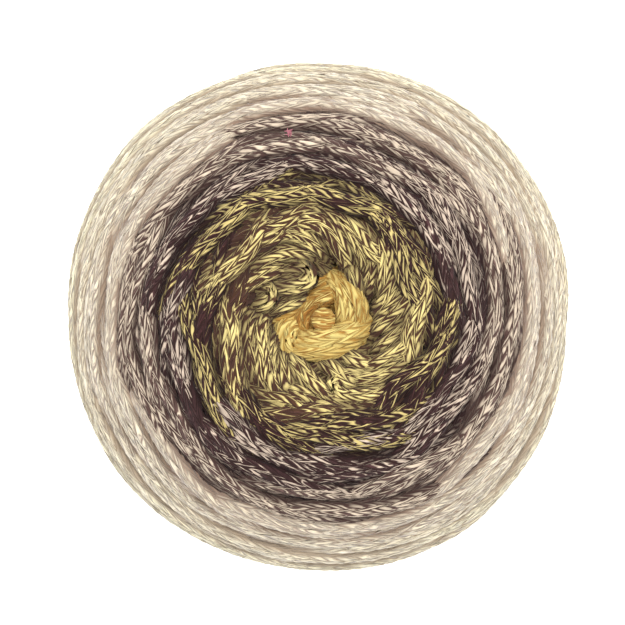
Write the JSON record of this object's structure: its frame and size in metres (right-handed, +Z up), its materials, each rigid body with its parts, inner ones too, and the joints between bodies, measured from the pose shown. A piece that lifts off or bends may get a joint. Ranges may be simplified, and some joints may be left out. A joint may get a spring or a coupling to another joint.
{
  "type": "ball of macrame cord",
  "caption": "Rounded ball of soft chain-knit cotton cord wound in crossing turns, gold heart to cream outside, with its inner end at the top.",
  "frame": {"origin": "on the surface the ball rests on, under the middle of its outline", "axes": "+Z up out of the heart of the ball, +X and +Y to the right and top of the picture taken from straight above"},
  "size_m": [0.1299, 0.1301, 0.084],
  "materials": {
    "cotton_cord": "matte chain-knit cotton, cream outside, charcoal and yellow towards the heart",
    "golden_cord": "matte chain-knit cotton, golden yellow"
  },
  "bodies": {
    "root": {"ball": "cotton_cord", "loose_end": "golden_cord"}
  },
  "joints": []
}
